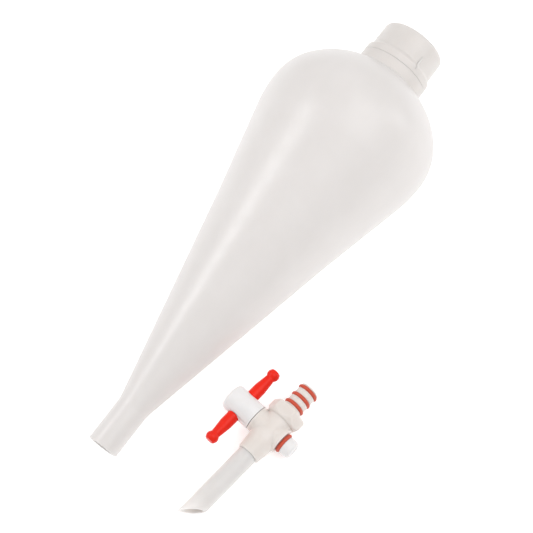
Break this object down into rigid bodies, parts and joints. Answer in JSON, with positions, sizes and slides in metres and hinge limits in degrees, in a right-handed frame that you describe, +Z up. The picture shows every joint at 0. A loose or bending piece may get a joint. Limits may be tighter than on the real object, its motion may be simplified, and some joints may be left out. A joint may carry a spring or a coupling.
{
  "type": "separatory funnel",
  "caption": "Pear-shaped plastic separating funnel with a threaded cap, lying beside its push-in stopcock with a cross-bar plug, sealing rings and slant-cut outlet tube.",
  "frame": {"origin": "on the bench under the middle of the box round everything that lies there", "axes": "+X along the funnel in plan, from its stem to its cap; +Z up; +Y away from the stopcock"},
  "size_m": [0.324, 0.1506, 0.1159],
  "materials": {
    "translucent_polypropylene": "satin, milky translucent",
    "cap_polypropylene": "satin, slightly warm natural plastic",
    "liner_foam": "matt white foam disc",
    "valve_polypropylene": "satin, warm translucent",
    "tube_polypropylene": "satin, milky translucent",
    "white_fluoropolymer": "smooth, waxy white",
    "red_plastic": "glossy moulded red",
    "ring_rubber": "dull red-brown rubber"
  },
  "bodies": {
    "funnel": {"funnel_body": "translucent_polypropylene"},
    "liner": {"cap_liner": "liner_foam"},
    "cap": {"screw_cap": "cap_polypropylene"},
    "stopcock": {"valve_body": "valve_polypropylene", "outlet_tube": "tube_polypropylene", "spigot_ring_end": "ring_rubber", "spigot_ring_middle": "ring_rubber", "spigot_ring_grip": "ring_rubber"},
    "plug": {"stopcock_plug": "white_fluoropolymer", "t_handle": "red_plastic", "retaining_ring": "ring_rubber"}
  },
  "joints": [
    {"name": "cap_lift", "type": "slide", "parent": "funnel", "child": "liner", "axis": [0.9809, 0, 0.1947], "range_m": [0, 0.017]},
    {"name": "cap_turn", "type": "hinge", "parent": "liner", "child": "cap", "pos_m": [0.14501, 0.01741, 0.07022], "axis": [0.9809, 0, 0.1947], "range_deg": [0, 1440]},
    {"name": "stopcock_lift", "type": "slide", "parent": "funnel", "child": "stopcock", "axis": [0, 0, 1], "range_m": [0, 0.15]},
    {"name": "plug_turn", "type": "hinge", "parent": "stopcock", "child": "plug", "pos_m": [-0.08964, -0.05602, 0.01014], "axis": [-0.0913, -0.9903, -0.1044], "continuous": true}
  ],
  "couplings": [
    {"joint": "cap_lift", "follows": "cap_turn", "m_per_rad": 0.00067375}
  ]
}
